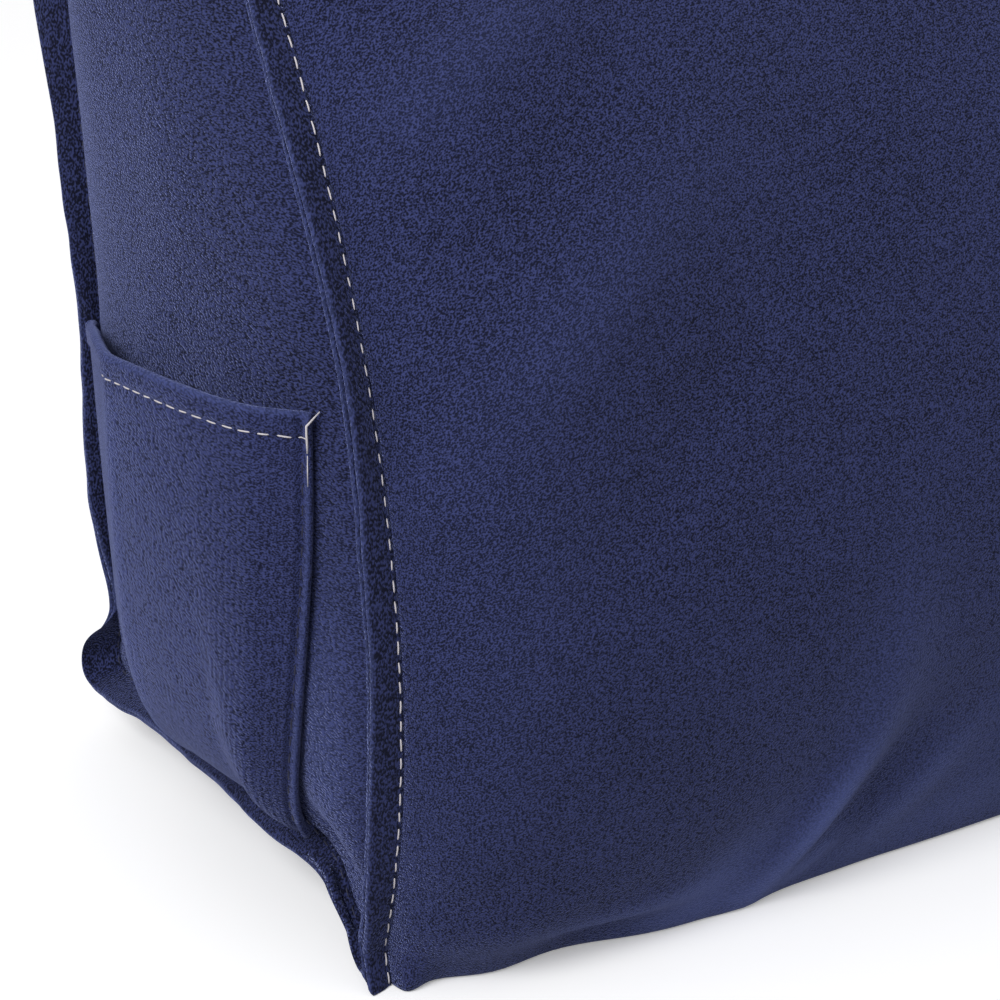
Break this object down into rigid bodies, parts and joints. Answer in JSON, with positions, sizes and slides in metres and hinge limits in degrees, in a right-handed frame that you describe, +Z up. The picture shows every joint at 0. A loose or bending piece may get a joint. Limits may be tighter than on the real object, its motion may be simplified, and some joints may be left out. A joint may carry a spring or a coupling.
{
  "type": "wedge headboard pillow",
  "caption": "Long stuffed wedge pillow of navy plush that fills the space between a bed's mattress and headboard, with topstitched flanges round its end panels and a phone pocket on one end.",
  "frame": {"origin": "on the floor under the middle of the pillow's length, about the middle of its depth", "axes": "+X along the length towards the end without a pocket, -Y out of the sloping front that is leaned against, +Z up"},
  "size_m": [1.028, 0.2474, 0.4115],
  "materials": {
    "body_plush": "short-pile navy plush with a pebbly nap",
    "flange_plush": "doubled navy plush with off-white topstitching",
    "pocket_plush": "short-pile navy plush with fine lengthwise ribs and an off-white hem stitch"
  },
  "bodies": {
    "root": {"pillow_body": "body_plush", "flange_left": "flange_plush", "flange_right": "flange_plush", "pocket_left": "pocket_plush"}
  },
  "joints": []
}
